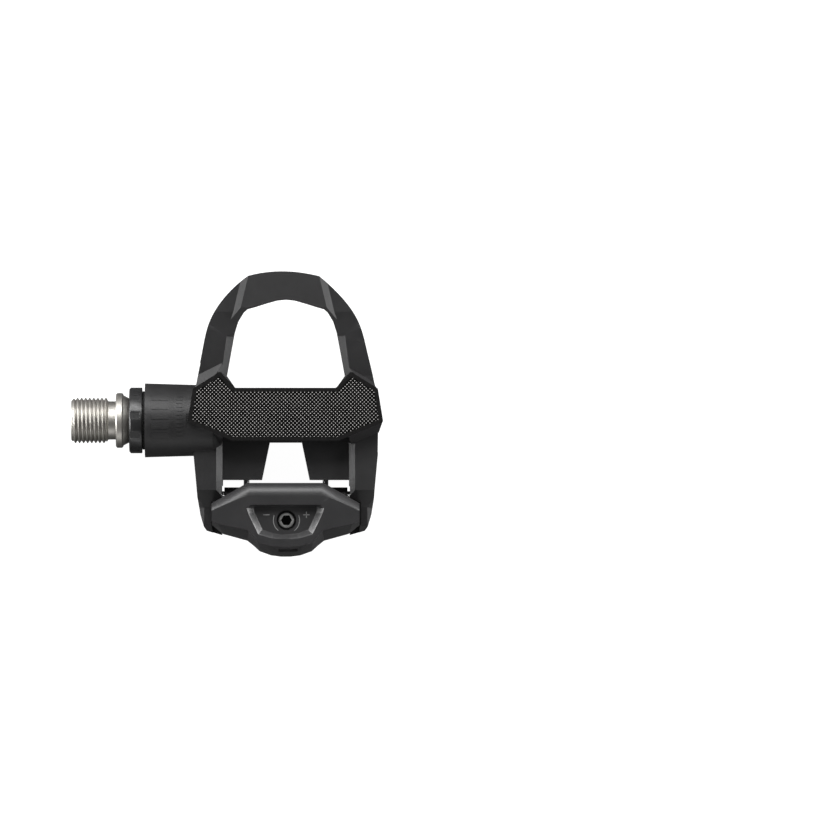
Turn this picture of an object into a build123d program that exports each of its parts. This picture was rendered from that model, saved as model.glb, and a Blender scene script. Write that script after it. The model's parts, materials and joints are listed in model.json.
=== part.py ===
from build123d import *
from math import cos, pi, radians, sin
import os

os.makedirs("parts", exist_ok=True)

# ---------------------------------------------------------------- driving dimensions, mm
# Frame: X along the axle (+X away from the crank), Y to the nose, Z up to the shoe.
# Origin: axle axis at the crank side face of the axle flange.
XC = 53.2                 # pedal centre plane
THREAD_R = 7.14           # 9/16 in thread
THREAD_L = 14.0
HEX_AF = 8.0
HEX_DEPTH = 10.0
FLANGE_R = 8.6
FLANGE_T = 2.3

BARREL_X0 = 9.1
BARREL_X1 = 33.2
BARREL_R0 = 11.6
BARREL_R1 = 11.15
CORE_R = 7.0              # slim outboard part of the barrel
CORE_X1 = 78.5
BORE_R = 9.0
BORE_STEP_X = 31.4
CORE_BORE_R = 5.5
CORE_BORE_X1 = 70.1

PLATE_Z = 11.0
PLATE_T = 1.2
KNURL_DEPTH = 0.35
RIM_W = 1.25

BOSS_R = 2.15
BOSS_L = 4.4
PLATE_SCREW_R = 1.25
PLATE_SCREW_HEAD_R = 2.2
PLATE_SCREW_HEAD_T = 2.0
PLATE_SCREW_L = 5.6
PLATE_SCREWS = [(XC - 19.4, 9.6), (XC + 19.4, 9.6)]
SCREW_SEAT_Z = 4.8

ARM_Z = 9.2               # top of the loop arms beside the grip plate
NOSE_ARM_Z = 12.0         # top of the loop arms beside the lip
REAR_ARM_Z = 5.6          # top of the rear arms
BLOCK_Z = 3.2             # top of the spring blocks
BRIDGE_Z = 14.5           # top of the nose lip
LOOP_Z0 = -5.0
NOSE_POCKET_Z0 = 7.6      # space for the cleat's tongue
NOSE_POCKET_Z1 = 11.8

PIN_Y = -24.0
PIN_Z = -4.0
PIN_R = 1.8
CAP_X0 = 26.3             # inner face of a pin cap, from the centre plane
CAP_T = 0.8
CAP_R = 3.2
SLEEVE_R = 2.25
COIL_R = 3.25
WIRE_R = 0.9
COIL_X = 12.4             # outer end of a coil, from the centre plane
COIL_TURNS = 3
COIL_PITCH = 2.4
LEG_ANGLE = 25.0
LEG_L = 8.5

SCREW_X = 0.3
SCREW_Y = -31.2
SCREW_R = 1.98            # M4, left-hand thread
SCREW_HEAD_R = 2.45
SCREW_HEAD_T = 2.2
SCREW_L = 14.5
SCREW_SOCKET_AF = 3.0
CIRCLIP_GROOVE_R = 1.5
CIRCLIP_R = 2.9
CIRCLIP_T = 0.6
CIRCLIP_Z = 5.63

SPAN = 40.0               # half width of a cut right across the pedal
CUT_Z = 20.0              # height above everything, for cuts open to the top


def pts(points):
    """Points measured from the centre plane, moved to the part frame."""
    return [(XC + x, y) for x, y in points]


def mirrored(points):
    """Closed outline from its right half, front to rear."""
    left = [(-x, y) for x, y in reversed(points) if x > 0.01]
    return pts(points + left)


# ---------------------------------------------------------------- outlines, seen from above
PLATE_OUTLINE = [
    (15.8, 10.2), (20.4, 15.3), (28.9, 10.0), (30.6, -0.5), (16.6, -6.3),
]
SEAT_OUTLINE = [
    (15.7, 10.1), (20.4, 15.1), (28.7, 9.9), (30.2, -0.4), (16.6, -6.1),
]
SHOULDER_TRIM_FRONT = [(28.85, 9.7), (28.0, 10.9), (26.6, 18.0), (36.0, 18.0), (36.0, 9.7)]
SHOULDER_TRIM_REAR = [(30.3, -0.6), (28.9, -4.6), (28.8, -10.0), (36.0, -10.0), (36.0, -0.6)]
LOOP_FRONT = [(-11.6, 45.2), (-6.1, 46.3), (0.0, 46.6), (5.6, 46.1), (10.6, 45.1)]
LOOP_LEFT = [
    (-28.5, 6.0), (-28.1, 10.8), (-26.2, 20.8), (-23.9, 30.5), (-19.1, 38.4), (-11.6, 45.2),
]
LOOP_RIGHT = [
    (10.6, 45.1), (16.1, 40.1), (22.8, 30.9), (25.7, 20.8), (27.9, 10.8), (28.3, 6.0),
]
OPENING = [
    (0.0, 37.8), (2.8, 37.5), (6.0, 36.6), (9.5, 35.5), (12.0, 34.8), (13.2, 33.7),
    (14.9, 30.9), (16.0, 27.4), (17.2, 21.0), (18.5, 13.9), (15.9, 10.2),
]
NOSE_POCKET = [(9.0, 42.2), (11.2, 38.0), (11.2, 30.0)]
ARM_OUTLINE = [
    (19.8, 3.0), (29.0, 3.0), (28.85, -10.7), (27.85, -21.6), (27.65, -24.4), (26.8, -29.6),
    (25.7, -33.3), (24.8, -34.6), (22.9, -35.2), (23.45, -32.2), (23.45, -25.4), (20.1, -25.4),
    (20.1, -20.8), (19.8, -20.4),
]
FOOT_OUTLINE = [(24.8, -34.6), (20.0, -36.0), (20.0, -35.0), (23.2, -32.0), (25.0, -32.0)]
LEDGE_OUTLINE = [(22.3, -25.4), (23.6, -25.4), (23.6, -33.0), (22.3, -33.0)]
BLOCK_OUTLINE = [(5.0, -5.0), (20.0, -5.0), (20.0, -18.7), (7.5, -18.7), (5.1, -7.2)]
CLIP_TOP = [
    (12.0, -19.45), (23.1, -25.9), (23.1, -31.4), (21.0, -32.0), (11.6, -33.9), (10.1, -35.8),
    (8.4, -37.7), (4.6, -38.7), (1.5, -39.0),
]
CLIP_MID = [
    (12.0, -19.45), (23.1, -25.9), (23.1, -32.8), (19.7, -35.6), (12.0, -37.7), (9.9, -39.4),
    (8.2, -41.0), (4.6, -42.3), (1.5, -42.7),
]
CLIP_LOW = [
    (12.0, -20.4), (19.3, -26.0), (19.3, -30.0), (18.0, -33.0), (11.4, -35.6), (9.4, -37.0),
    (7.6, -38.6), (4.4, -39.6), (1.4, -40.0),
]

# ---------------------------------------------------------------- sections of sloping faces
# (left of travel, up), for prisms along an edge
FRONT_SHOULDER_INBOARD = [
    (0.2, 6.0), (0.2, PLATE_Z), (0, PLATE_Z), (-3.0, ARM_Z), (-3.0, 6.0),
]
FRONT_SHOULDER_OUTBOARD = [
    (0.2, 6.0), (0.2, PLATE_Z), (0, PLATE_Z), (-1.0, ARM_Z), (-1.0, 6.0),
]
ARM_BEVEL_INBOARD = [(-2.0, 13.16), (4.0, 13.16), (4.0, 7.16)]
ARM_BEVEL_OUTBOARD = [(-2.0, 11.06), (4.5, 11.06), (4.5, 4.56)]
ARM_BEVEL_RISE = 2.1
REAR_ARM_BEVEL = [(-1.0, 6.7), (2.3, 6.7), (2.3, 3.4)]
EAR_FACE_REAR = [(0, 0.9), (0, 8), (5, 8), (5, -6.6)]
EAR_FACE_FRONT = [(0, 1.6), (0, 8), (5, 8), (5, -5.9)]
REAR_SHOULDER = [(0.2, 4.0), (0.2, PLATE_Z), (0, PLATE_Z), (-2.7, REAR_ARM_Z), (-2.7, 4.0)]

# ---------------------------------------------------------------- side profiles, (Y, Z)
ARM_SLOPE = [
    (34.0, NOSE_ARM_Z), (14.0, ARM_Z), (0, ARM_Z), (0, CUT_Z), (34.0, CUT_Z),
]
LIP_RAMP = [
    (35.3, CUT_Z), (35.3, BRIDGE_Z), (28.0, ARM_Z - 0.2), (0, ARM_Z - 0.2), (0, CUT_Z),
]
LIP_FRONT_BEVEL = [(46.0, BRIDGE_Z + 0.1), (50, BRIDGE_Z + 0.1), (50, 11.0), (47.2, 12.0)]
LOOP_UNDERSIDE = [
    (60, -30), (60, 3.6), (46.6, 3.6), (42.0, 1.2), (12.0, -4.9), (4, -4.9), (4, -30),
]
REAR_ARM_TOP = [
    (-21.8, REAR_ARM_Z + 0.1), (-21.8, REAR_ARM_Z - 0.1), (-27.1, 0.9), (-33.0, 0.3),
    (-36.5, -3.0), (-40, -3.0), (-40, 10), (-21.8, 10),
]
REAR_ARM_UNDERSIDE = [(-40, -6.5), (-34.5, -6.5), (-29.0, -8.9), (-29, -30), (-40, -30)]
ARM_ROOT_UNDERSIDE = [(3.1, -9.1), (-7.0, -9.1), (3.1, -4.0)]
PLATFORM_RECESS = [(8.2, -10), (8.2, 4.0), (-5.0, 4.0), (-5.0, -10)]
BLOCK_Z0 = PIN_Z - COIL_R + WIRE_R + 0.1      # just above the fixed spring legs


def loop_block(z0, z1):
    """Extrude the nose loop's outer outline between two heights."""
    with BuildSketch(Plane.XY.offset(z0)) as loop_sketch:
        with BuildLine():
            Spline(*pts(LOOP_LEFT))
            Spline(*pts(LOOP_FRONT))
            Spline(*pts(LOOP_RIGHT))
            Line(pts(LOOP_RIGHT)[-1], pts(LOOP_LEFT)[0])
        make_face()
    extrude(loop_sketch.sketch, amount=z1 - z0)


def slab(outline, z0, z1, mode=Mode.ADD):
    """Extrude an outline seen from above between two heights."""
    with BuildSketch(Plane.XY.offset(z0)) as outline_sketch:
        Polygon(*outline, align=None)
    extrude(outline_sketch.sketch, amount=z1 - z0, mode=mode)


def side_block(profile, half_width, mode, centre=0.0):
    """Extrude a side-view profile (Y, Z) across the width."""
    with BuildSketch(Plane.YZ.offset(XC + centre)) as side_sketch:
        Polygon(*profile, align=None)
    extrude(side_sketch.sketch, amount=half_width, both=True, mode=mode)


def side_cut(profile, half_width, centre=0.0):
    """Remove a side-view profile (Y, Z) across the width."""
    side_block(profile, half_width, Mode.SUBTRACT, centre)


def edge_prism(p0, p1, section, mode, rise=0.0):
    """Prism along p0-p1, which may climb; section points are (left of travel, up)."""
    (x0, y0), (x1, y1) = pts([p0, p1])
    along = Vector(x1 - x0, y1 - y0, rise)
    left = Vector(-along.Y, along.X, 0)
    with BuildSketch(Plane(origin=(x0, y0, 0), x_dir=left, z_dir=along)) as prism_sketch:
        Polygon(*section, align=None)
    extrude(prism_sketch.sketch, amount=along.length, mode=mode)


def x_cylinder(radius, x0, x1, y=0.0, z=0.0, mode=Mode.ADD):
    """Cylinder parallel to the axle."""
    with Locations((x0, y, z)):
        Cylinder(radius, x1 - x0, rotation=(0, 90, 0),
                 align=(Align.CENTER, Align.CENTER, Align.MIN), mode=mode)


def tube_x(r_in, r_out, x0, x1, y=0.0, z=0.0):
    """Tube parallel to the axle."""
    x_cylinder(r_out, x0, x1, y, z)
    x_cylinder(r_in, x0, x1, y, z, mode=Mode.SUBTRACT)


# ---------------------------------------------------------------- composite body
with BuildPart() as loop_arms:
    loop_block(LOOP_Z0, NOSE_ARM_Z)
    side_cut(ARM_SLOPE, SPAN)

with BuildPart() as pedal_body:
    # raised nose lip: block, steep side facets, ramps down to the arms
    loop_block(LOOP_Z0, BRIDGE_Z)
    split(bisect_by=Plane(origin=(XC - 11.6, 45.2, BRIDGE_Z), z_dir=(53.9, -12.65, -44.3)),
          keep=Keep.TOP)
    split(bisect_by=Plane(origin=(XC + 10.6, 45.1, BRIDGE_Z), z_dir=(-53.9, -12.65, -44.3)),
          keep=Keep.TOP)
    side_cut(LIP_RAMP, SPAN)
    # small bevel along the front of the lip
    side_cut(LIP_FRONT_BEVEL, SPAN)

    # loop arms and the shoulders in front of the grip plate
    add(loop_arms.part)
    edge_prism((-18.9, 16.15), (-28.7, 9.9), FRONT_SHOULDER_INBOARD, Mode.ADD)
    edge_prism((28.7, 9.9), (18.9, 16.15), FRONT_SHOULDER_OUTBOARD, Mode.ADD)
    slab(mirrored(OPENING), -CUT_Z, CUT_Z, Mode.SUBTRACT)
    # cleat pocket under the lip
    slab(mirrored(NOSE_POCKET), NOSE_POCKET_Z0, NOSE_POCKET_Z1, Mode.SUBTRACT)
    # underside rises to the nose
    side_cut(LOOP_UNDERSIDE, SPAN)
    # bevels along the inside of the arms
    edge_prism((-18.3, 27.9), (-20.4, 13.0), ARM_BEVEL_INBOARD, Mode.SUBTRACT, -ARM_BEVEL_RISE)
    edge_prism((20.4, 13.0), (18.6, 27.9), ARM_BEVEL_OUTBOARD, Mode.SUBTRACT, ARM_BEVEL_RISE)

    # rear arms: outline seen from above, then the side profile
    for side in (1, -1):
        slab(pts([(side * x, y) for x, y in ARM_OUTLINE]), -9.0, REAR_ARM_Z)
        slab(pts([(side * x, y) for x, y in FOOT_OUTLINE]), -9.0, -4.6)
    side_cut(REAR_ARM_TOP, SPAN)
    side_cut(REAR_ARM_UNDERSIDE, SPAN)
    side_cut(ARM_ROOT_UNDERSIDE, SPAN)
    # slanted outer faces of the ears
    edge_prism((25.5, -27.2), (25.2, -36.0), EAR_FACE_REAR, Mode.SUBTRACT)
    edge_prism((27.9, -24.0), (25.5, -27.2), EAR_FACE_FRONT, Mode.SUBTRACT)
    edge_prism((-25.2, -36.0), (-25.5, -27.2), EAR_FACE_REAR, Mode.SUBTRACT)
    edge_prism((-25.5, -27.2), (-27.9, -24.0), EAR_FACE_FRONT, Mode.SUBTRACT)
    # bevels along the inside of the rear arms
    edge_prism((21.85, -24.4), (21.85, -7.0), REAR_ARM_BEVEL, Mode.SUBTRACT)
    edge_prism((-21.85, -7.0), (-21.85, -24.4), REAR_ARM_BEVEL, Mode.SUBTRACT)
    # ledges close the gap under the sides of the clip
    for side in (1, -1):
        slab(pts([(side * x, y) for x, y in LEDGE_OUTLINE]), -8.0, -3.0)

    # platform under the grip plate, with the shoulders behind it
    slab(mirrored(SEAT_OUTLINE), 1.0, PLATE_Z)
    edge_prism((19.5, -4.9), (30.2, -0.4), REAR_SHOULDER, Mode.ADD)
    edge_prism((-30.2, -0.4), (-19.5, -4.9), REAR_SHOULDER, Mode.ADD)
    # trim the shoulders to the outline
    for side in (1, -1):
        slab(pts([(side * x, y) for x, y in SHOULDER_TRIM_FRONT]), 1.0, 12.0, Mode.SUBTRACT)
        slab(pts([(side * x, y) for x, y in SHOULDER_TRIM_REAR]), -10.0, 12.0, Mode.SUBTRACT)
    # lighten the platform from below, between the barrel and the loop
    side_cut(PLATFORM_RECESS, 14)

    # recessed blocks that carry the fixed spring legs
    for side in (1, -1):
        slab(pts([(side * x, y) for x, y in BLOCK_OUTLINE]), BLOCK_Z0, BLOCK_Z)

    # axle barrel
    with BuildSketch(Plane.XY) as barrel_section:
        with BuildLine():
            Polyline((BARREL_X0, 0), (BARREL_X0, BARREL_R0), (24.6, BARREL_R1), (30.4, BARREL_R1),
                     (BARREL_X1, 8.6), (BARREL_X1, CORE_R), (CORE_X1 - 1, CORE_R),
                     (CORE_X1, CORE_R - 1), (CORE_X1, 0), close=True)
        make_face()
    revolve(axis=Axis.X)
    x_cylinder(BORE_R, BARREL_X0 - 1, BORE_STEP_X, mode=Mode.SUBTRACT)
    x_cylinder(CORE_BORE_R, BORE_STEP_X - 1, CORE_BORE_X1, mode=Mode.SUBTRACT)
    x_cylinder(CORE_BORE_R - 0.5, CORE_BORE_X1 - 1, 76.6, mode=Mode.SUBTRACT)

    # the barrel is flat under the grip plate
    slab(pts([(-31.0, -8.0), (-15.0, -8.0), (-15.0, 12.0), (-31.0, 12.0)]),
         PLATE_Z, PLATE_Z + 3, Mode.SUBTRACT)

    # pin bores with seats for the end caps
    x_cylinder(PIN_R, XC - SPAN, XC + SPAN, PIN_Y, PIN_Z, mode=Mode.SUBTRACT)
    for x0, x1 in ((XC - 30, XC - CAP_X0), (XC + CAP_X0, XC + 30)):
        x_cylinder(CAP_R, x0, x1, PIN_Y, PIN_Z, mode=Mode.SUBTRACT)
    # bosses and screws of the grip plate
    with Locations(*[(x, y, PLATE_Z) for x, y in PLATE_SCREWS]):
        Cylinder(BOSS_R + 0.05, BOSS_L + 0.1, align=(Align.CENTER, Align.CENTER, Align.MAX),
                 mode=Mode.SUBTRACT)
        Cylinder(PLATE_SCREW_R + 0.15, 8, align=(Align.CENTER, Align.CENTER, Align.MAX),
                 mode=Mode.SUBTRACT)
    with Locations(*[(x, y, SCREW_SEAT_Z) for x, y in PLATE_SCREWS]):
        Cylinder(PLATE_SCREW_HEAD_R + 0.15, 12, align=(Align.CENTER, Align.CENTER, Align.MAX),
                 mode=Mode.SUBTRACT)
pedal_body.part.label = "pedal_body"
export_step(pedal_body.part, "parts/pedal_body.step")

# ---------------------------------------------------------------- grip plate
with BuildPart() as grip_plate:
    with BuildSketch(Plane.XY.offset(PLATE_Z)) as plate_sketch:
        Polygon(*mirrored(PLATE_OUTLINE), align=None)
        fillet(plate_sketch.vertices(), 0.7)
    extrude(amount=PLATE_T)
    with BuildSketch(Plane.XY.offset(PLATE_Z + PLATE_T)) as field_sketch:
        Polygon(*mirrored(PLATE_OUTLINE), align=None)
        offset(amount=-RIM_W, kind=Kind.INTERSECTION)
        fillet(field_sketch.vertices(), 0.5)
    extrude(amount=-KNURL_DEPTH, mode=Mode.SUBTRACT)
    with Locations(*[(x, y, PLATE_Z) for x, y in PLATE_SCREWS]):
        Cylinder(BOSS_R, BOSS_L, align=(Align.CENTER, Align.CENTER, Align.MAX))
        Cylinder(PLATE_SCREW_R, BOSS_L, align=(Align.CENTER, Align.CENTER, Align.MAX),
                 mode=Mode.SUBTRACT)
grip_plate.part.label = "grip_plate"
export_step(grip_plate.part, "parts/grip_plate.step")

with BuildPart() as plate_screws:
    with Locations(*[(x, y, SCREW_SEAT_Z) for x, y in PLATE_SCREWS]):
        Cylinder(PLATE_SCREW_HEAD_R, PLATE_SCREW_HEAD_T,
                 align=(Align.CENTER, Align.CENTER, Align.MAX))
        Cylinder(PLATE_SCREW_R, PLATE_SCREW_L, align=(Align.CENTER, Align.CENTER, Align.MIN))
    with BuildSketch(Plane.XY.offset(SCREW_SEAT_Z - PLATE_SCREW_HEAD_T)):
        with Locations(*PLATE_SCREWS):
            RegularPolygon(1.25, 6, major_radius=False)
    extrude(amount=1.3, mode=Mode.SUBTRACT)
plate_screws.part.label = "plate_screws"
export_step(plate_screws.part, "parts/plate_screws.step")


# ---------------------------------------------------------------- axle and what turns with it
END_THREAD_R = 2.5
RACE_X0 = 65.0
RACE_X1 = 70.0
WASHER_X0 = 70.05
END_NUT_X0 = 70.8
END_NUT_T = 4.0

with BuildPart() as spindle:
    with BuildSketch(Plane.XY) as spindle_section:
        with BuildLine():
            Polyline(
                (-THREAD_L, 0), (-THREAD_L, THREAD_R - 1.0), (-THREAD_L + 1.0, THREAD_R),
                (0, THREAD_R), (0, FLANGE_R - 0.4), (0.4, FLANGE_R),
                (FLANGE_T - 0.4, FLANGE_R), (FLANGE_T, FLANGE_R - 0.4), (FLANGE_T, 7.9),
                (4.2, 6.9), (4.5, 6.5), (9.6, 6.5), (10.6, 5.0), (26.6, 5.0), (30.0, 3.9),
                (60.0, 3.9), (62.0, 3.3), (RACE_X0, 3.3), (RACE_X0, END_THREAD_R), (75.0, END_THREAD_R),
                (75.6, 1.9), (75.6, 0), close=True)
        make_face()
    revolve(axis=Axis.X)
    with BuildSketch(Plane.YZ.offset(-THREAD_L)):
        RegularPolygon(HEX_AF / 2, 6, major_radius=False, rotation=30)
    extrude(amount=HEX_DEPTH, mode=Mode.SUBTRACT)
spindle.part.label = "spindle"
export_step(spindle.part, "parts/spindle.step")

with BuildPart() as end_washer:
    tube_x(END_THREAD_R, 3.7, WASHER_X0, END_NUT_X0)
end_washer.part.label = "end_washer"
export_step(end_washer.part, "parts/end_washer.step")

with BuildPart() as end_nut:
    with BuildSketch(Plane.YZ.offset(END_NUT_X0)):
        RegularPolygon(3.5, 6, major_radius=False)
        Circle(END_THREAD_R, mode=Mode.SUBTRACT)
    extrude(amount=END_NUT_T)
    chamfer(end_nut.edges().filter_by(GeomType.LINE).group_by(Axis.X)[-1], 0.4)
end_nut.part.label = "end_nut"
export_step(end_nut.part, "parts/end_nut.step")


# ---------------------------------------------------------------- bearing unit
NEEDLES = 14
NEEDLE_R = 1.0
NEEDLE_PITCH_R = 6.02
BALLS = 9
BALL_R = 1.0
BALL_PITCH_R = 4.0
BALL_X = 67.5
RACE_GROOVE_R = 1.03

with BuildPart() as axle_collar:
    with BuildSketch(Plane.XY):
        with BuildLine():
            Polyline((4.2, 7.1), (4.2, 9.8), (4.7, 10.3), (8.2, 10.3), (8.2, 8.35), (9.1, 8.35),
                     (9.1, 9.0), (11.9, 9.0), (11.9, 7.2), (8.1, 7.2), (8.1, 8.0), (4.6, 8.0),
                     (4.6, 7.1), close=True)
        make_face()
    revolve(axis=Axis.X)
    # ten tool grooves around the rim
    with BuildSketch(Plane.YZ.offset(4.0)):
        with PolarLocations(10.75, 10, start_angle=9):
            Rectangle(1.4, 2.2)
    extrude(amount=3.6, mode=Mode.SUBTRACT)
axle_collar.part.label = "axle_collar"
export_step(axle_collar.part, "parts/axle_collar.step")

with BuildPart() as collar_ring:
    with BuildSketch(Plane.XY):
        with Locations((8.65, 8.77)):
            Circle(0.42)
    revolve(axis=Axis.X)
collar_ring.part.label = "collar_ring"
export_step(collar_ring.part, "parts/collar_ring.step")

with BuildPart() as lip_seal:
    with BuildSketch(Plane.XY):
        with BuildLine():
            Polyline((4.65, 7.0), (4.65, 8.0), (8.05, 8.0), (8.05, 7.3), (7.4, 7.1), (6.5, 6.55),
                     (5.9, 6.55), (5.4, 7.0), close=True)
        make_face()
    revolve(axis=Axis.X)
lip_seal.part.label = "lip_seal"
export_step(lip_seal.part, "parts/lip_seal.step")

with BuildPart() as axle_sleeve:
    tube_x(8.0, BORE_R, 12.0, BORE_STEP_X)
    x_cylinder(BORE_R, BORE_STEP_X - 1.2, BORE_STEP_X)
    x_cylinder(CORE_BORE_R, BORE_STEP_X - 1.2, 64.95)
    x_cylinder(4.4, BORE_STEP_X - 3, 65, mode=Mode.SUBTRACT)
axle_sleeve.part.label = "axle_sleeve"
export_step(axle_sleeve.part, "parts/axle_sleeve.step")

with BuildPart() as needle_shell:
    tube_x(5.5, 8.0, 13.0, 25.0)
    x_cylinder(NEEDLE_PITCH_R + NEEDLE_R + 0.02, 13.7, 24.3, mode=Mode.SUBTRACT)
needle_shell.part.label = "needle_shell"
export_step(needle_shell.part, "parts/needle_shell.step")

with BuildPart() as needle_rollers:
    with BuildSketch(Plane.YZ.offset(14.2)):
        with PolarLocations(NEEDLE_PITCH_R, NEEDLES):
            Circle(NEEDLE_R)
    extrude(amount=9.6)
needle_rollers.part.label = "needle_rollers"
export_step(needle_rollers.part, "parts/needle_rollers.step")

with BuildPart() as needle_cage:
    tube_x(5.6, 6.4, 13.8, 24.2)
    with BuildSketch(Plane.YZ.offset(14.15)):
        with PolarLocations(NEEDLE_PITCH_R, NEEDLES):
            Circle(NEEDLE_R + 0.03)
    extrude(amount=9.7, mode=Mode.SUBTRACT)
needle_cage.part.label = "needle_cage"
export_step(needle_cage.part, "parts/needle_cage.step")


def cut_race_groove():
    """Remove the ball track from a race."""
    with Locations((BALL_X, 0, 0)):
        Torus(BALL_PITCH_R, RACE_GROOVE_R, rotation=(0, 90, 0), mode=Mode.SUBTRACT)


with BuildPart() as ball_outer_race:
    tube_x(4.5, CORE_BORE_R, RACE_X0, RACE_X1)
    cut_race_groove()
ball_outer_race.part.label = "ball_outer_race"
export_step(ball_outer_race.part, "parts/ball_outer_race.step")

with BuildPart() as ball_inner_race:
    tube_x(END_THREAD_R, 3.5, RACE_X0, RACE_X1)
    cut_race_groove()
ball_inner_race.part.label = "ball_inner_race"
export_step(ball_inner_race.part, "parts/ball_inner_race.step")

with BuildPart() as bearing_balls:
    with Locations(*[(BALL_X, BALL_PITCH_R * cos(radians(a)), BALL_PITCH_R * sin(radians(a)))
                     for a in range(0, 360, 360 // BALLS)]):
        Sphere(BALL_R)
bearing_balls.part.label = "bearing_balls"
export_step(bearing_balls.part, "parts/bearing_balls.step")

with BuildPart() as ball_cage:
    tube_x(3.75, 4.25, 66.0, 69.0)
    for a in range(0, 360, 360 // BALLS):
        with Locations(Plane(origin=(BALL_X, 0, 0), z_dir=(0, cos(radians(a)), sin(radians(a)))).location):
            Cylinder(BALL_R + 0.06, 6, align=(Align.CENTER, Align.CENTER, Align.MIN),
                     mode=Mode.SUBTRACT)
ball_cage.part.label = "ball_cage"
export_step(ball_cage.part, "parts/ball_cage.step")


# ---------------------------------------------------------------- hinge pin
with BuildPart() as clip_pin:
    x_cylinder(PIN_R, XC - CAP_X0, XC + CAP_X0, PIN_Y, PIN_Z)
clip_pin.part.label = "clip_pin"
export_step(clip_pin.part, "parts/clip_pin.step")

with BuildPart() as pin_cap_inboard:
    x_cylinder(CAP_R, XC - CAP_X0 - CAP_T, XC - CAP_X0, PIN_Y, PIN_Z)
pin_cap_inboard.part.label = "pin_cap_inboard"
export_step(pin_cap_inboard.part, "parts/pin_cap_inboard.step")

with BuildPart() as pin_cap_outboard:
    x_cylinder(CAP_R, XC + CAP_X0, XC + CAP_X0 + CAP_T, PIN_Y, PIN_Z)
pin_cap_outboard.part.label = "pin_cap_outboard"
export_step(pin_cap_outboard.part, "parts/pin_cap_outboard.step")


# ---------------------------------------------------------------- sprung rear clip
CLIP_TOP_Z = 13.6
CLIP_MID_Z = 2.0
CLIP_LOW_Z = -7.5
CLAW_Z = 10.4             # underside of the claw
CLAW_ROUND = 4.0
REAR_TOP_Z = 11.4         # the top slopes down to the tip
POCKET_TOP_Z = 13.4       # above the sloping top
POCKET_Z = 10.6
SEAT_Z = 8.0              # seat of the tension screw head
ROOF_Z = 6.6              # top of the inner cavity
LUG_X0 = 13.6
LUG_X1 = 19.3
LUG_R = 3.0
BUSH_R = 2.6
PIN_CLEAR = 0.03
POCKET_TOP = [
    (11.2, -26.3), (12.3, -27.4), (12.0, -28.8), (9.4, -36.7), (4.6, -38.1), (1.5, -38.4),
]
POCKET_FLOOR = [
    (9.7, -26.9), (9.9, -27.6), (9.6, -28.9), (7.2, -34.1), (3.9, -35.3), (1.4, -35.6),
]


def polygon_face(outline, z):
    """Face of an outline seen from above, at one height."""
    with BuildSketch(Plane.XY.offset(z)) as face_sketch:
        Polygon(*outline, align=None)
    return face_sketch.sketch.faces()[0]


with BuildPart() as rear_clip:
    loft([polygon_face(mirrored(CLIP_MID), CLIP_MID_Z), polygon_face(mirrored(CLIP_TOP), CLIP_TOP_Z)],
         ruled=True)
    # rounded front edge of the claw
    top_edges = rear_clip.edges().filter_by_position(Axis.Z, CLIP_TOP_Z - 0.01, CLIP_TOP_Z + 0.01)
    claw_edges = top_edges.sort_by(Axis.Y)[-3:]
    fillet(claw_edges, CLAW_ROUND)
    loft([polygon_face(mirrored(CLIP_LOW), CLIP_LOW_Z), polygon_face(mirrored(CLIP_MID), CLIP_MID_Z)],
         ruled=True)
    # top slopes down behind the claw
    side_cut([(-23.5, CLIP_TOP_Z), (-43, REAR_TOP_Z), (-43, 20), (-23.5, 20)], 30)
    # open front under the claw, clear of the springs
    side_cut([(-10, CLAW_Z), (-24.3, CLAW_Z), (-25.8, 8.9), (-25.8, 1.6), (-29.1, -0.6),
              (-29.1, -20), (-10, -20)], 30)
    # tension pocket and screw seat
    loft([polygon_face(mirrored(POCKET_FLOOR), POCKET_Z), polygon_face(mirrored(POCKET_TOP), POCKET_TOP_Z)],
         ruled=True, mode=Mode.SUBTRACT)
    with Locations((XC + SCREW_X, SCREW_Y, SEAT_Z)):
        Cylinder(3.1, 10, align=(Align.CENTER, Align.CENTER, Align.MIN), mode=Mode.SUBTRACT)
        Cylinder(2.15, 10, mode=Mode.SUBTRACT)
    # inner cavity, window and the cavity behind it
    slab(pts([(-7.6, -27.4), (7.6, -27.4), (7.6, -36.4), (-7.6, -36.4)]), -12, ROOF_Z, Mode.SUBTRACT)
    slab(pts([(-4.4, -36.0), (4.4, -36.0), (4.4, -39.3), (-4.4, -39.3)]), -12, 9.4, Mode.SUBTRACT)
    slab(pts([(-2.2, -39.0), (3.8, -39.0), (3.8, -46.0), (-2.2, -46.0)]), 6.6, 9.4, Mode.SUBTRACT)
    # hinge lugs
    for x0, x1 in ((-LUG_X1, -LUG_X0), (LUG_X0, LUG_X1)):
        x_cylinder(LUG_R, XC + x0, XC + x1, PIN_Y, PIN_Z)
        side_block([(PIN_Y, PIN_Z - LUG_R), (-30.5, PIN_Z - LUG_R), (-30.5, PIN_Z + LUG_R),
                    (PIN_Y, PIN_Z + LUG_R)], (x1 - x0) / 2, Mode.ADD, (x0 + x1) / 2)
        x_cylinder(BUSH_R, XC + x0, XC + x1, PIN_Y, PIN_Z, mode=Mode.SUBTRACT)
rear_clip.part.label = "rear_clip"
export_step(rear_clip.part, "parts/rear_clip.step")

with BuildPart() as bush_left:
    tube_x(PIN_R + PIN_CLEAR, BUSH_R, XC - LUG_X1, XC - LUG_X0, PIN_Y, PIN_Z)
bush_left.part.label = "bush_left"
export_step(bush_left.part, "parts/bush_left.step")

with BuildPart() as bush_right:
    tube_x(PIN_R + PIN_CLEAR, BUSH_R, XC + LUG_X0, XC + LUG_X1, PIN_Y, PIN_Z)
bush_right.part.label = "bush_right"
export_step(bush_right.part, "parts/bush_right.step")

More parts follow.
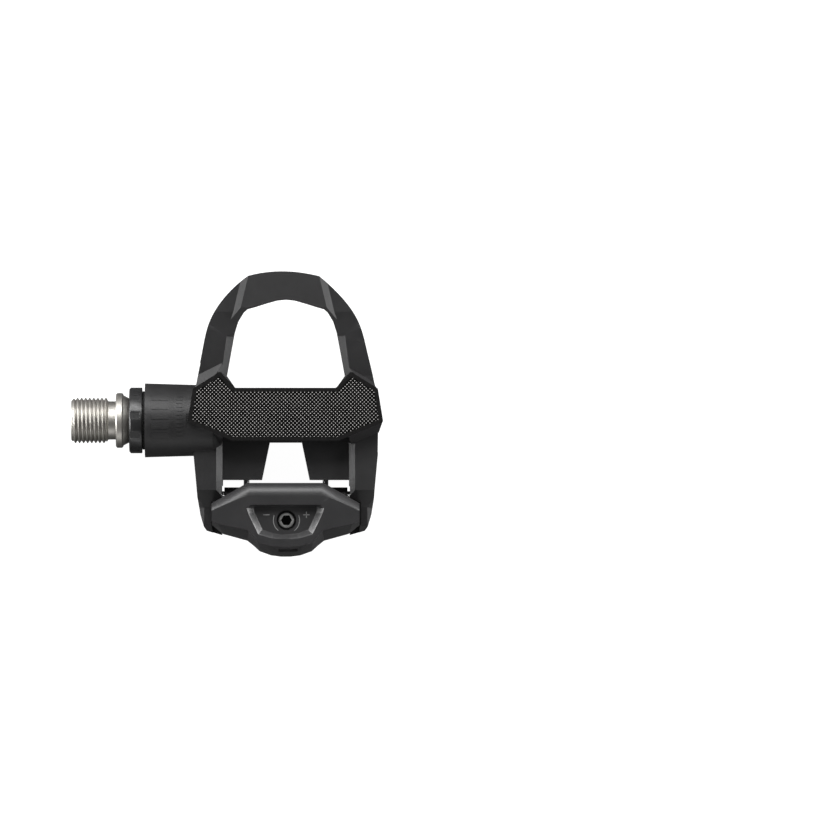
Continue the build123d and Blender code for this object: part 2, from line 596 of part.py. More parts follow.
with BuildPart() as spring_sleeve:
    tube_x(PIN_R + PIN_CLEAR, SLEEVE_R, XC - LUG_X0 + 0.2, XC + LUG_X0 - 0.2, PIN_Y, PIN_Z)
spring_sleeve.part.label = "spring_sleeve"
export_step(spring_sleeve.part, "parts/spring_sleeve.step")


# ---------------------------------------------------------------- torsion springs
LEG_Y = -10.5             # front end of the fixed legs


def spring_solid(side):
    """Wind one torsion spring on the pin; side is +1 or -1 from the centre plane."""
    turn = COIL_TURNS + LEG_ANGLE / 360
    steps = 12 * COIL_TURNS + 1
    coil_points = []
    for i in range(steps + 1):
        t = turn * i / steps
        coil_points.append((XC + side * (COIL_X - COIL_PITCH * t),
                            PIN_Y - COIL_R * sin(2 * pi * t), PIN_Z - COIL_R * cos(2 * pi * t)))
    first = coil_points[0]
    last = coil_points[-1]
    a = radians(LEG_ANGLE)
    front_end = (first[0], LEG_Y, first[2])
    rear_end = (last[0], last[1] - LEG_L * cos(a), last[2] + LEG_L * sin(a))
    with BuildLine() as wire_path:
        Line(front_end, first)
        Spline(*coil_points)
        Line(last, rear_end)
    with BuildSketch(Plane(origin=front_end, z_dir=(0, -1, 0))) as wire_section:
        Circle(WIRE_R)
    sweep(wire_section.sketch, path=wire_path.wires()[0])


with BuildPart() as spring_left:
    spring_solid(-1)
spring_left.part.label = "spring_left"
export_step(spring_left.part, "parts/spring_left.step")

with BuildPart() as spring_right:
    spring_solid(1)
spring_right.part.label = "spring_right"
export_step(spring_right.part, "parts/spring_right.step")


# ---------------------------------------------------------------- tension adjuster
NUT_BAR_R = 1.6
NUT_R = 3.0
NUT_L = 6.0
NUT_TOP_Z = 1.5
NUT_HALF_W = 6.6
LEG_START_Y = PIN_Y - COIL_R * sin(radians(LEG_ANGLE))
LEG_START_Z = PIN_Z - COIL_R * cos(radians(LEG_ANGLE))
# axis of the bar that rides on the spring legs
NUT_Z = (LEG_START_Z + (LEG_START_Y - SCREW_Y) * sin(radians(LEG_ANGLE)) / cos(radians(LEG_ANGLE))
         + (WIRE_R + NUT_BAR_R) / cos(radians(LEG_ANGLE)) + 0.03)

with BuildPart() as tension_screw:
    with Locations((XC + SCREW_X, SCREW_Y, SEAT_Z + 0.03)):
        Cylinder(SCREW_HEAD_R, SCREW_HEAD_T, align=(Align.CENTER, Align.CENTER, Align.MIN))
        Cylinder(SCREW_R, SCREW_L, align=(Align.CENTER, Align.CENTER, Align.MAX))
    chamfer(tension_screw.edges().filter_by(GeomType.CIRCLE).sort_by(Axis.Z)[-1], 0.3)
    with BuildSketch(Plane.XY.offset(SEAT_Z + 0.03 + SCREW_HEAD_T)):
        with Locations((XC + SCREW_X, SCREW_Y)):
            RegularPolygon(SCREW_SOCKET_AF / 2, 6, major_radius=False)
    extrude(amount=-3.0, mode=Mode.SUBTRACT)
    # groove of the retaining clip
    with BuildSketch(Plane.XY.offset(CIRCLIP_Z - 0.03)):
        with Locations((XC + SCREW_X, SCREW_Y)):
            Circle(CIRCLIP_R + 0.1)
            Circle(CIRCLIP_GROOVE_R, mode=Mode.SUBTRACT)
    extrude(amount=CIRCLIP_T + 0.1, mode=Mode.SUBTRACT)
tension_screw.part.label = "tension_screw"
export_step(tension_screw.part, "parts/tension_screw.step")

with BuildPart() as screw_clip:
    with BuildSketch(Plane.XY.offset(CIRCLIP_Z)):
        with Locations((XC + SCREW_X, SCREW_Y)):
            Circle(CIRCLIP_R)
            Circle(CIRCLIP_GROOVE_R, mode=Mode.SUBTRACT)
        with Locations((XC + SCREW_X, SCREW_Y - 2.4)):
            Rectangle(1.9, 3.0, mode=Mode.SUBTRACT)
    extrude(amount=CIRCLIP_T)
screw_clip.part.label = "screw_clip"
export_step(screw_clip.part, "parts/screw_clip.step")

with BuildPart() as tension_nut:
    with Locations((XC + SCREW_X, SCREW_Y, NUT_TOP_Z)):
        Cylinder(NUT_R, NUT_L, align=(Align.CENTER, Align.CENTER, Align.MAX))
    x_cylinder(NUT_BAR_R, XC - NUT_HALF_W, XC + NUT_HALF_W, SCREW_Y, NUT_Z)
    slab(pts([(-NUT_HALF_W, -28.7), (NUT_HALF_W, -28.7), (NUT_HALF_W, -33.5),
              (-NUT_HALF_W, -33.5)]), -1.0, NUT_TOP_Z)
    with Locations((XC + SCREW_X, SCREW_Y, 0)):
        Cylinder(SCREW_R + 0.03, 30, mode=Mode.SUBTRACT)
tension_nut.part.label = "tension_nut"
export_step(tension_nut.part, "parts/tension_nut.step")

with BuildPart() as tension_indicator:
    slab(pts([(-2.0, -34.2), (3.4, -34.2), (3.4, -38.8), (-2.0, -38.8)]), -0.8, 1.3)
    slab(pts([(-2.0, -37.4), (3.4, -37.4), (3.4, -38.8), (-2.0, -38.8)]), 1.3, 8.0)
tension_indicator.part.label = "tension_indicator"
export_step(tension_indicator.part, "parts/tension_indicator.step")
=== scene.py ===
import json
import math

import bmesh
import bpy
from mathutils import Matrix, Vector


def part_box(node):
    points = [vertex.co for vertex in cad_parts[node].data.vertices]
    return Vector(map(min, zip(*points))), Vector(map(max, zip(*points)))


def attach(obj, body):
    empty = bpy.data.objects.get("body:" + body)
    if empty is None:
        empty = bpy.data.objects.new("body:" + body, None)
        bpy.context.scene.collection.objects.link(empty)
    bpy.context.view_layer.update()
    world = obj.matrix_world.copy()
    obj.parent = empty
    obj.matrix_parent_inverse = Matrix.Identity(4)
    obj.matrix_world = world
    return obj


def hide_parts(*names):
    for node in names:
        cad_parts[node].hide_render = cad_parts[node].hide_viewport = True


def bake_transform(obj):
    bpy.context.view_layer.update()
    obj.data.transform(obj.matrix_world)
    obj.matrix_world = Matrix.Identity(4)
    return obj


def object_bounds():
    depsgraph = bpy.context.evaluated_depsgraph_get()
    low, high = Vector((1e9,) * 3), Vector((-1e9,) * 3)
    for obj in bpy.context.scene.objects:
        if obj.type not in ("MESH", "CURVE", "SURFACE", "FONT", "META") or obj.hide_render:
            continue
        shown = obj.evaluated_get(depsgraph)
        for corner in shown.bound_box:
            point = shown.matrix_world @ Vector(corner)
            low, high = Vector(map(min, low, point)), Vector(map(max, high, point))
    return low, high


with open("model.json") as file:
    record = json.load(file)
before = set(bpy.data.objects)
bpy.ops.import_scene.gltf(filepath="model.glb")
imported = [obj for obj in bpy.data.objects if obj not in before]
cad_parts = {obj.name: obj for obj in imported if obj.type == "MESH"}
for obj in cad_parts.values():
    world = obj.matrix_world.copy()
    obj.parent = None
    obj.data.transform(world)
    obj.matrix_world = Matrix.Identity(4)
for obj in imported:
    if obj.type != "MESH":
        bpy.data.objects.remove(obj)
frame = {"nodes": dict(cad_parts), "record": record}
cad_lo, cad_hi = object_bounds()
nodes = frame["nodes"]

MM = 0.001


# ---------------------------------------------------------------- materials
def principled(name, color, rough, metal=0.0, specular=0.5):
    mat = bpy.data.materials.new(name)
    mat.use_nodes = True
    bsdf = mat.node_tree.nodes["Principled BSDF"]
    bsdf.inputs["Base Color"].default_value = (*color, 1)
    bsdf.inputs["Roughness"].default_value = rough
    bsdf.inputs["Metallic"].default_value = metal
    bsdf.inputs["Specular IOR Level"].default_value = specular
    return mat


def add_grain(mat, scale, strength, rough_lo, rough_hi, tint_lo=None, tint_hi=None, distance=0.00005):
    """Fine grain: noise drives roughness, a little colour and a shallow bump."""
    tree = mat.node_tree
    bsdf = tree.nodes["Principled BSDF"]
    coord = tree.nodes.new("ShaderNodeTexCoord")
    noise = tree.nodes.new("ShaderNodeTexNoise")
    noise.inputs["Scale"].default_value = scale
    noise.inputs["Detail"].default_value = 4.0
    tree.links.new(coord.outputs["Object"], noise.inputs["Vector"])
    rough = tree.nodes.new("ShaderNodeMapRange")
    rough.inputs["To Min"].default_value = rough_lo
    rough.inputs["To Max"].default_value = rough_hi
    rough.inputs["From Min"].default_value = 0.3
    rough.inputs["From Max"].default_value = 0.7
    tree.links.new(noise.outputs["Fac"], rough.inputs["Value"])
    tree.links.new(rough.outputs["Result"], bsdf.inputs["Roughness"])
    if tint_lo:
        wide = tree.nodes.new("ShaderNodeTexNoise")
        wide.inputs["Scale"].default_value = scale / 12
        wide.inputs["Detail"].default_value = 3.0
        tree.links.new(coord.outputs["Object"], wide.inputs["Vector"])
        ramp = tree.nodes.new("ShaderNodeValToRGB")
        ramp.color_ramp.elements[0].position = 0.35
        ramp.color_ramp.elements[1].position = 0.65
        ramp.color_ramp.elements[0].color = (*tint_lo, 1)
        ramp.color_ramp.elements[1].color = (*tint_hi, 1)
        tree.links.new(wide.outputs["Fac"], ramp.inputs["Fac"])
        tree.links.new(ramp.outputs["Color"], bsdf.inputs["Base Color"])
    bump = tree.nodes.new("ShaderNodeBump")
    bump.inputs["Strength"].default_value = strength
    bump.inputs["Distance"].default_value = distance
    tree.links.new(noise.outputs["Fac"], bump.inputs["Height"])
    tree.links.new(bump.outputs["Normal"], bsdf.inputs["Normal"])
    return mat


def add_turning(mat, scale, strength):
    """Fine rings from a lathe, around the axle."""
    tree = mat.node_tree
    bsdf = tree.nodes["Principled BSDF"]
    coord = tree.nodes.new("ShaderNodeTexCoord")
    wave = tree.nodes.new("ShaderNodeTexWave")
    wave.bands_direction = "X"
    wave.inputs["Scale"].default_value = scale
    wave.inputs["Distortion"].default_value = 1.5
    wave.inputs["Detail"].default_value = 3.0
    tree.links.new(coord.outputs["Object"], wave.inputs["Vector"])
    bump = tree.nodes.new("ShaderNodeBump")
    bump.inputs["Strength"].default_value = strength
    bump.inputs["Distance"].default_value = 0.00002
    tree.links.new(wave.outputs["Fac"], bump.inputs["Height"])
    tree.links.new(bump.outputs["Normal"], bsdf.inputs["Normal"])
    return mat


composite = add_grain(principled("composite", (0.011, 0.0107, 0.0112), 0.5, specular=0.33),
                      2600, 0.35, 0.42, 0.56, (0.0090, 0.0088, 0.0092), (0.0110, 0.0108, 0.0112))
clip_mat = add_grain(principled("clip_composite", (0.018, 0.0178, 0.0185), 0.38, specular=0.42),
                     2200, 0.25, 0.32, 0.44, (0.0168, 0.0166, 0.0172), (0.0195, 0.0192, 0.0199))
plate_mat = add_grain(principled("plate_black", (0.004, 0.0038, 0.0038), 0.3, specular=0.3),
                      900, 0.08, 0.24, 0.36)
tip_mat = add_grain(principled("knurl_worn_tip", (0.42, 0.41, 0.40), 0.4, 0.4), 1500, 0.2, 0.35, 0.5)
collar_mat = add_grain(principled("collar_black", (0.009, 0.009, 0.0095), 0.35), 1500, 0.15, 0.28, 0.42)
rubber_mat = add_grain(principled("rubber_black", (0.006, 0.006, 0.006), 0.7), 1200, 0.3, 0.6, 0.8)
steel_mat = add_turning(principled("spindle_steel", (0.40, 0.388, 0.362), 0.45, 1.0), 1600, 0.3)
bearing_mat = add_grain(principled("bearing_steel", (0.6, 0.6, 0.6), 0.25, 1.0), 900, 0.1, 0.2, 0.32)
chrome_mat = add_grain(principled("ball_chrome", (0.75, 0.75, 0.75), 0.08, 1.0), 400, 0.02, 0.06, 0.12)
brass_mat = add_grain(principled("cage_brass", (0.72, 0.52, 0.24), 0.3, 1.0), 900, 0.1, 0.25, 0.4)
spring_mat = add_grain(principled("spring_steel", (0.38, 0.38, 0.385), 0.4, 1.0), 900, 0.1, 0.35, 0.5)
screw_mat = add_grain(principled("screw_dark", (0.28, 0.28, 0.28), 0.3, 1.0), 900, 0.1, 0.25, 0.4)
sleeve_mat = add_grain(principled("sleeve_grey", (0.16, 0.16, 0.16), 0.45), 900, 0.1, 0.4, 0.5)
red_mat = add_grain(principled("indicator_red", (0.42, 0.015, 0.015), 0.3), 700, 0.05, 0.25, 0.35)
mark_mat = add_grain(principled("mark_grey", (0.16, 0.16, 0.16), 0.4), 1500, 0.1, 0.35, 0.5)


def add_painted_socket_shade(mat, level, depth, dark, bright):
    """Painted shade: below the top of the head the colour turns near black, so the hex socket looks
    shaded; the top keeps a steel colour.
    """
    tree = mat.node_tree
    coord = tree.nodes.new("ShaderNodeTexCoord")
    split = tree.nodes.new("ShaderNodeSeparateXYZ")
    ramp = tree.nodes.new("ShaderNodeValToRGB")
    height = tree.nodes.new("ShaderNodeMapRange")
    height.inputs["From Min"].default_value = level - depth
    height.inputs["From Max"].default_value = level
    ramp.color_ramp.elements[0].position = 0.15
    ramp.color_ramp.elements[0].color = (*dark, 1)
    ramp.color_ramp.elements[1].position = 0.6
    ramp.color_ramp.elements[1].color = (*bright, 1)
    tree.links.new(coord.outputs["Object"], split.inputs["Vector"])
    tree.links.new(split.outputs["Z"], height.inputs["Value"])
    tree.links.new(height.outputs["Result"], ramp.inputs["Fac"])
    tree.links.new(ramp.outputs["Color"], tree.nodes["Principled BSDF"].inputs["Base Color"])
    return mat


# painted shade in the screw's hex socket: near black below the top 0.5 mm of the head
add_painted_socket_shade(screw_mat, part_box("tension_screw")[1].z, 0.5 * MM,
              (0.012, 0.012, 0.012), (0.55, 0.55, 0.54))

BY_SLOT = {
    "composite": composite, "clip_composite": clip_mat, "plate_black": plate_mat,
    "collar_black": collar_mat, "rubber_black": rubber_mat, "spindle_steel": steel_mat,
    "bearing_steel": bearing_mat, "ball_chrome": chrome_mat, "cage_brass": brass_mat,
    "bush_brass": brass_mat, "pin_steel": bearing_mat, "spring_steel": spring_mat,
    "screw_dark": screw_mat, "sleeve_grey": sleeve_mat, "indicator_red": red_mat,
}
SLOT_OF = {s["node"]: s["material_slot"] for s in frame["record"]["subparts"]}
for name, obj in nodes.items():
    obj.data.materials.clear()
    obj.data.materials.append(BY_SLOT[SLOT_OF[name]])


# ---------------------------------------------------------------- helpers
def mesh_piece(name, verts, faces, mat, body, smooth=False):
    data = bpy.data.meshes.new(name)
    data.from_pydata([tuple(v) for v in verts], [], faces)
    data.update()
    obj = bpy.data.objects.new(name, data)
    bpy.context.scene.collection.objects.link(obj)
    data.materials.append(mat)
    if smooth:
        data.polygons.foreach_set("use_smooth", [True] * len(data.polygons))
    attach(obj, body)
    return obj


def copy_piece(name, source, mat):
    """A free copy of a CAD node's mesh, that stands for it."""
    data = nodes[source].data.copy()
    data.name = name
    obj = bpy.data.objects.new(name, data)
    bpy.context.scene.collection.objects.link(obj)
    data.materials.clear()
    data.materials.append(mat)
    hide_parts(source)
    return obj


def keep_faces(data, wanted):
    """Delete the faces of a mesh whose points wanted() turns down."""
    bm = bmesh.new()
    bm.from_mesh(data)
    drop = [f for f in bm.faces if not wanted([v.co for v in f.verts])]
    bmesh.ops.delete(bm, geom=drop, context="FACES")
    bm.to_mesh(data)
    bm.free()


def soften(obj, width, segments=2, angle=28):
    """Round the hard edges a little."""
    weld = obj.modifiers.new("weld", "WELD")
    weld.merge_threshold = 0.000002
    bevel = obj.modifiers.new("bevel", "BEVEL")
    bevel.width = width
    bevel.segments = segments
    bevel.limit_method = "ANGLE"
    bevel.angle_limit = math.radians(angle)
    bevel.harden_normals = True
    bevel.use_clamp_overlap = True


# ---------------------------------------------------------------- where things are
plate_lo, plate_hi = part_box("grip_plate")
spindle_lo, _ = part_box("spindle")
screw_lo, screw_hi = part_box("tension_screw")
centre_x = (plate_lo.x + plate_hi.x) / 2


# ---------------------------------------------------------------- axle with a real thread
# Its outer radius, and the flange's crank side face at x = 0, are those of the CAD spindle.
PITCH = 1.27 * MM
DEPTH = 0.78 * MM
MAJOR = 7.14 * MM
LEAD_CHAMFER = 1.0 * MM
RELIEF = 6.0 * MM
RELIEF_START = -2.4 * MM
RELIEF_SLOPE = 1.6
RELIEF_STEP = 0.2 * MM
ROOT_FLAT = 0.08          # share of the height that is flat at the root
FLANK_SHARE = 0.80        # the rest of it is flat at the crest
THREAD_SIDES = 160
THREAD_ROWS = 190
EDGE = 1e-5


def thread_radius(x, angle):
    """Right-hand 60 degree thread, cut off by the lead chamfer and the run-out groove."""
    u = (x / PITCH - angle / (2 * math.pi)) % 1.0
    height = 1.0 - abs(2 * u - 1.0)
    height = min(1.0, max(0.0, (height - ROOT_FLAT) / FLANK_SHARE))
    r = MAJOR - DEPTH + DEPTH * height
    r = min(r, MAJOR - LEAD_CHAMFER + (x - spindle_lo.x))
    return min(r, RELIEF + max(0.0, RELIEF_START - x) * RELIEF_SLOPE)


def is_thread_face(points):
    """Is the face on the plain cylinder that stands in for the thread?"""
    outer = all(math.hypot(p.y, p.z) > MAJOR - LEAD_CHAMFER - 0.02 * MM for p in points)
    inside = all(spindle_lo.x - EDGE < p.x < EDGE for p in points)
    tip_face = all(p.x < spindle_lo.x + EDGE for p in points)
    flange_face = all(abs(p.x) < EDGE for p in points)
    return outer and inside and not (tip_face or flange_face)


def build_axle():
    """The CAD axle without its plain thread cylinder, and a threaded skin in its place."""
    shaft = copy_piece("axle_shaft", "spindle", steel_mat)
    keep_faces(shaft.data, lambda points: not is_thread_face(points))
    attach(shaft, "axle")
    # the skin starts as a ring on the flange's face, then the relief, then the thread
    rows = [(0.0, MAJOR + 0.01 * MM), (0.0, RELIEF)]
    for i in range(1, int(-RELIEF_START / RELIEF_STEP)):
        rows.append((-i * RELIEF_STEP, RELIEF))
    angles = [2 * math.pi * k / THREAD_SIDES for k in range(THREAD_SIDES)]
    verts = [(x, r * math.cos(a), r * math.sin(a)) for x, r in rows for a in angles]
    for i in range(THREAD_ROWS + 1):
        x = RELIEF_START + (spindle_lo.x - RELIEF_START) * i / THREAD_ROWS
        for a in angles:
            r = thread_radius(x, a)
            verts.append((x, r * math.cos(a), r * math.sin(a)))
    faces = []
    for i in range(len(rows) + THREAD_ROWS):
        for k in range(THREAD_SIDES):
            n = (k + 1) % THREAD_SIDES
            faces.append((i * THREAD_SIDES + k, (i + 1) * THREAD_SIDES + k,
                          (i + 1) * THREAD_SIDES + n, i * THREAD_SIDES + n))
    mesh_piece("axle_thread", verts, faces, steel_mat, "axle", smooth=True)


build_axle()


# ---------------------------------------------------------------- knurled field of the grip plate
# right half of the plate's outline, in mm from its centre line
FIELD = [(0.0, 10.2), (15.8, 10.2), (20.4, 15.3), (28.9, 10.0), (30.6, -0.5), (16.6, -6.3),
         (0.0, -6.3)]
FIELD_MARGIN = 0.9        # the pyramids run a little under the rim, which is 1.25 mm wide
KNURL_STEP = 0.85 * MM / math.sqrt(2)
KNURL_HALF = 0.85 * MM * 0.5 * math.sqrt(2) * 0.98
KNURL_TIP = 0.19 * MM
KNURL_TOP = 0.02 * MM     # below the rim
KNURL_FLOOR = 0.36 * MM
KNURL_CENTRE_Y = 4.0 * MM


def inside_field(x, y):
    """Is the point inside the plate's outline by the margin?"""
    x = abs(x)

    def inside_edge(p, q):
        ex, ey = q[0] - p[0], q[1] - p[1]
        return (ex * (y - p[1]) - ey * (x - p[0])) / math.hypot(ex, ey) < -FIELD_MARGIN

    front, wing, *rest = [inside_edge(p, q) for p, q in zip(FIELD, FIELD[1:])]
    # the only inward corner is where the straight front edge meets the wing
    if x > FIELD[1][0]:
        return all(rest) and (front or wing)
    return front and all(rest)


def build_knurl():
    """Flat-tipped pyramids on a diagonal grid."""
    verts, faces = [], []
    top = plate_hi.z - KNURL_TOP
    floor_z = plate_hi.z - KNURL_FLOOR
    corners = ((1, 0), (0, 1), (-1, 0), (0, -1))
    for i in range(-60, 61):
        for j in range(-30, 31):
            if (i + j) % 2:
                continue
            x, y = i * KNURL_STEP, j * KNURL_STEP + KNURL_CENTRE_Y
            if not inside_field(x / MM, y / MM):
                continue
            base = len(verts)
            verts += [(centre_x + x + dx * KNURL_HALF, y + dy * KNURL_HALF, floor_z) for dx, dy in corners]
            verts += [(centre_x + x + dx * KNURL_TIP, y + dy * KNURL_TIP, top) for dx, dy in corners]
            for k in range(4):
                n = (k + 1) % 4
                faces.append((base + k, base + n, base + 4 + n, base + 4 + k))
            faces.append((base + 4, base + 5, base + 6, base + 7))
    knurl = mesh_piece("plate_knurl", verts, faces, plate_mat, "body")
    knurl.data.materials.append(tip_mat)
    for poly in knurl.data.polygons:
        if poly.normal.z > 0.99:
            poly.material_index = 1


build_knurl()


# ---------------------------------------------------------------- raised marks
MARK_HEIGHT = 0.12 * MM
MARK_ROOT = 0.05 * MM                     # depth sunk into the surface below
POCKET_FLOOR_Z = screw_hi.z + 0.37 * MM   # the CAD pocket's floor
SIGN_X = 6.25 * MM                        # minus and plus, from the screw's axis
SIGN_Y = 1.7 * MM
SIGN_LENGTH = 2.0 * MM
SIGN_WIDTH = 0.3 * MM
ARC_R = 4.1 * MM
ARC_WIDTH = 0.22 * MM
ARCS = ((158, 232), (-52, 22))


def prism(outline, z0, z1, verts, faces):
    """Add an upright prism on a closed outline."""
    base = len(verts)
    count = len(outline)
    verts += [(x, y, z0) for x, y in outline] + [(x, y, z1) for x, y in outline]
    faces.append(tuple(base + count + i for i in range(count)))
    faces.append(tuple(base + i for i in reversed(range(count))))
    for i in range(count):
        n = (i + 1) % count
        faces.append((base + i, base + n, base + count + n, base + count + i))


def box_outline(x, y, width, height):
    return [(x - width / 2, y - height / 2), (x + width / 2, y - height / 2),
            (x + width / 2, y + height / 2), (x - width / 2, y + height / 2)]


def arc_outline(x, y, radius, width, start, end, steps=18):
    outer, inner = [], []
    for i in range(steps + 1):
        a = math.radians(start + (end - start) * i / steps)
        outer.append((x + (radius + width / 2) * math.cos(a), y + (radius + width / 2) * math.sin(a)))
        inner.append((x + (radius - width / 2) * math.cos(a), y + (radius - width / 2) * math.sin(a)))
    return outer + inner[::-1]


def build_tension_marks():
    """Minus, plus and two arcs beside the tension screw."""
    x = (screw_lo.x + screw_hi.x) / 2
    y = (screw_lo.y + screw_hi.y) / 2
    z0 = POCKET_FLOOR_Z - MARK_ROOT
    z1 = POCKET_FLOOR_Z + MARK_HEIGHT
    verts, faces = [], []
    bar = SIGN_LENGTH, SIGN_WIDTH
    prism(box_outline(x - SIGN_X, y + SIGN_Y, *bar), z0, z1, verts, faces)
    prism(box_outline(x + SIGN_X, y + SIGN_Y, *bar), z0, z1, verts, faces)
    prism(box_outline(x + SIGN_X, y + SIGN_Y, *bar[::-1]), z0, z1, verts, faces)
    for start, end in ARCS:
        prism(arc_outline(x, y, ARC_R, ARC_WIDTH, start, end), z0, z1, verts, faces)
    mesh_piece("tension_marks", verts, faces, mark_mat, "clip")


# the CAD barrel narrows from its inboard end face to where the grip plate starts
BARREL_X0 = 9.1 * MM
BARREL_X1 = 24.6 * MM
BARREL_R0 = 11.6 * MM
BARREL_R1 = 11.15 * MM


def build_barrel_bars():
    """Plain raised bars around the barrel: five wide ones, a line and a row of ticks."""
    verts, faces = [], []

    def radius_at(x):
        return BARREL_R0 + (BARREL_R1 - BARREL_R0) * (x - BARREL_X0) / (BARREL_X1 - BARREL_X0)

    def patch(x0, x1, a0, a1, steps=8):
        base = len(verts)
        for i in range(steps + 1):
            a = math.radians(a0 + (a1 - a0) * i / steps)
            for x in (x0, x1):
                for rise in (-MARK_ROOT, MARK_HEIGHT):
                    r = radius_at(x) + rise
                    verts.append((x, r * math.sin(a), r * math.cos(a)))
        for i in range(steps):
            p, q = base + 4 * i, base + 4 * (i + 1)
            faces.append((p + 1, q + 1, q + 3, p + 3))
            faces.append((p, p + 2, q + 2, q))
            faces.append((p, q, q + 1, p + 1))
            faces.append((p + 2, p + 3, q + 3, q + 2))
        e = base + 4 * steps
        faces.append((base, base + 1, base + 3, base + 2))
        faces.append((e, e + 2, e + 3, e + 1))

    for k in range(5):
        a0 = -29 + k * 15.5
        patch(11.2 * MM, 16.6 * MM, a0, a0 + 9)
    patch(17.6 * MM, 17.9 * MM, -30, 43)
    for k in range(12):
        a0 = -30 + k * 6.4
        patch(19.0 * MM, 21.0 * MM, a0, a0 + 3.2, 3)
    mesh_piece("barrel_bars", verts, faces, composite, "body")


# ---------------------------------------------------------------- springs
WIRE_R = 0.9 * MM
LEG_ANGLE = math.radians(25.0)


def build_springs():
    """Each coil winds between body and clip; its rear leg bends from the clip to the nut's bar."""
    pin = sum(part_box("clip_pin"), Vector()) / 2
    along = Vector((0, -math.cos(LEG_ANGLE), math.sin(LEG_ANGLE)))
    for side, node in ((1, "spring_right"), (-1, "spring_left")):
        lo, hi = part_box(node)
        outer, inner = (hi.x, lo.x) if side > 0 else (lo.x, hi.x)
        coil_r = (hi.z - lo.z) / 2 - WIRE_R
        root = Vector((inner + side * WIRE_R, pin.y - coil_r * math.sin(LEG_ANGLE),
                       pin.z - coil_r * math.cos(LEG_ANGLE)))

        def on_leg(points):
            return all((p - root).dot(along) > -WIRE_R
                       and (p - root - along * (p - root).dot(along)).length < WIRE_R * 1.3
                       for p in points)

        coil = copy_piece(node + "_coil", node, spring_mat)
        keep_faces(coil.data, lambda points: not on_leg(points))
        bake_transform(coil)
        leg = copy_piece(node + "_leg", node, spring_mat)
        keep_faces(leg.data, on_leg)
        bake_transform(leg)


build_springs()
build_tension_marks()
build_barrel_bars()


# ---------------------------------------------------------------- edge softening
soften(nodes["pedal_body"], 0.20 * MM)
soften(nodes["rear_clip"], 0.30 * MM)
soften(nodes["grip_plate"], 0.15 * MM)
soften(nodes["axle_collar"], 0.25 * MM)


# ---------------------------------------------------------------- studio
FLOOR_HALF = 3.0
floor_z = cad_lo.z - 0.2 * MM
floor_data = bpy.data.meshes.new("floor")
floor_data.from_pydata([(-FLOOR_HALF, -FLOOR_HALF, floor_z), (FLOOR_HALF, -FLOOR_HALF, floor_z),
                        (FLOOR_HALF, FLOOR_HALF, floor_z), (-FLOOR_HALF, FLOOR_HALF, floor_z)],
                       [], [(0, 1, 2, 3)])
floor = bpy.data.objects.new("floor", floor_data)
bpy.context.scene.collection.objects.link(floor)
floor_mat = principled("floor_white", (0.2, 0.2, 0.2), 0.9, specular=0.1)
floor_bsdf = floor_mat.node_tree.nodes["Principled BSDF"]
floor_bsdf.inputs["Emission Color"].default_value = (1, 1, 1, 1)
floor_bsdf.inputs["Emission Strength"].default_value = 0.97
floor_data.materials.append(floor_mat)
floor.visible_glossy = False

world = bpy.data.worlds.new("studio")
bpy.context.scene.world = world
world.use_nodes = True
sky = world.node_tree
sky_coord = sky.nodes.new("ShaderNodeTexCoord")
sky_split = sky.nodes.new("ShaderNodeSeparateXYZ")
sky_ramp = sky.nodes.new("ShaderNodeValToRGB")
SKY_STOPS = ((0.0, 0.10), (0.46, 0.18), (0.60, 0.85), (0.80, 0.75), (0.97, 0.22))
for position, level in SKY_STOPS[1:-1]:
    sky_ramp.color_ramp.elements.new(position)
for stop, (position, level) in zip(sky_ramp.color_ramp.elements, SKY_STOPS):
    stop.position = position
    stop.color = (level, level, level, 1)
sky_height = sky.nodes.new("ShaderNodeMapRange")
sky_height.inputs["From Min"].default_value = -1.0
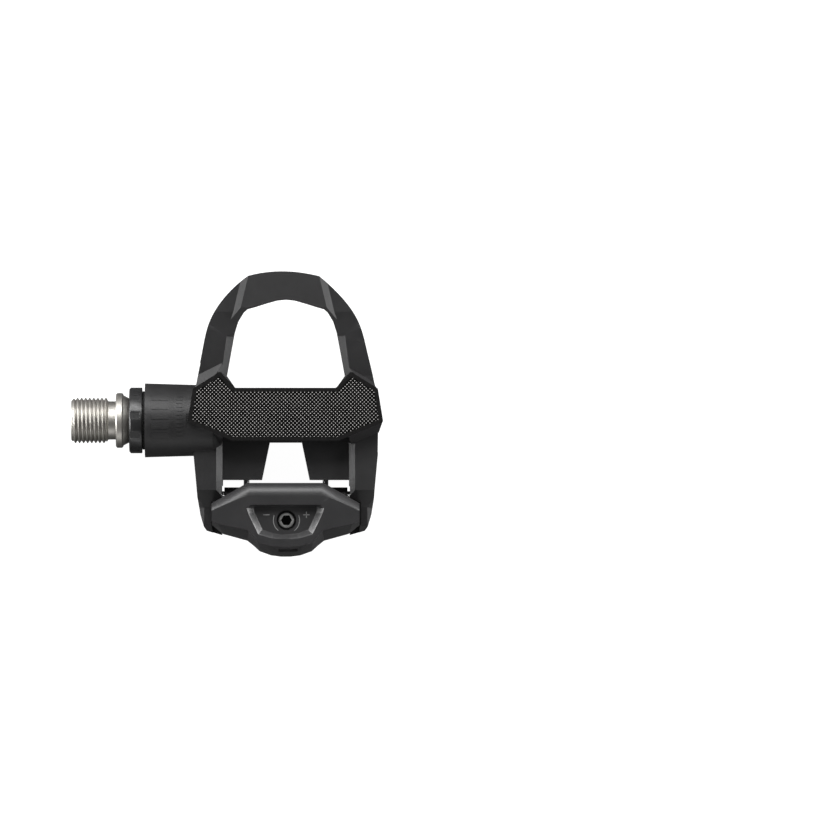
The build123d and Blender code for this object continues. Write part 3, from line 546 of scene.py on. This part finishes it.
# the bright band reaches lower on the left and right
sky_side = sky.nodes.new("ShaderNodeMath")
sky_side.operation = "ABSOLUTE"
sky_shift = sky.nodes.new("ShaderNodeMath")
sky_shift.operation = "MULTIPLY_ADD"
sky_shift.inputs[1].default_value = 0.2
sky_depth = sky.nodes.new("ShaderNodeMapRange")
sky_depth.inputs["From Min"].default_value = -1.0
sky_depth.inputs["To Min"].default_value = 0.35
sky.links.new(sky_coord.outputs["Generated"], sky_split.inputs["Vector"])
sky.links.new(sky_split.outputs["Z"], sky_height.inputs["Value"])
sky.links.new(sky_split.outputs["Y"], sky_depth.inputs["Value"])
sky.links.new(sky_split.outputs["X"], sky_side.inputs[0])
sky.links.new(sky_side.outputs["Value"], sky_shift.inputs[0])
sky.links.new(sky_height.outputs["Result"], sky_shift.inputs[2])
sky.links.new(sky_shift.outputs["Value"], sky_ramp.inputs["Fac"])
sky.links.new(sky_ramp.outputs["Color"], sky.nodes["Background"].inputs["Color"])
sky.links.new(sky_depth.outputs["Result"], sky.nodes["Background"].inputs["Strength"])


def area_light(name, position, target, size, power):
    data = bpy.data.lights.new(name, "AREA")
    data.shape = "RECTANGLE"
    data.size, data.size_y = size
    data.energy = power
    lamp = bpy.data.objects.new(name, data)
    lamp.location = position
    lamp.visible_camera = False
    lamp.rotation_euler = (Vector(target) - Vector(position)).to_track_quat("-Z", "Y").to_euler()
    bpy.context.scene.collection.objects.link(lamp)


middle = (cad_lo + cad_hi) / 2
area_light("front", middle + Vector((-0.04, 0.31, 0.29)), middle, (0.55, 0.2), 2.9)
area_light("left", middle + Vector((-1.2, 0.25, 0.3)), middle, (1.2, 0.5), 31)
area_light("right", middle + Vector((1.2, 0.25, 0.3)), middle, (1.2, 0.5), 31)
area_light("rear", middle + Vector((0.1, -1.2, 0.45)), middle, (1.6, 0.5), 4)


# ---------------------------------------------------------------- camera, straight above
FRAME_WIDTH = 0.2594
DISTANCE = 4.0
SENSOR = 36
LOOK_X = 40.5 * MM        # from the pedal's centre line to the picture's centre
LOOK_Y = 1.7 * MM
cam_data = bpy.data.cameras.new("camera")
camera = bpy.data.objects.new("camera", cam_data)
bpy.context.scene.collection.objects.link(camera)
bpy.context.scene.camera = camera
cam_data.sensor_width = SENSOR
cam_data.lens = SENSOR * DISTANCE / FRAME_WIDTH
look = Vector((centre_x + LOOK_X, LOOK_Y, plate_hi.z))
camera.location = look + Vector((0, 0, DISTANCE))
camera.rotation_euler = (0, 0, 0)
cam_data.clip_start = 0.05
cam_data.clip_end = 10
bpy.context.scene.view_settings.view_transform = "Standard"
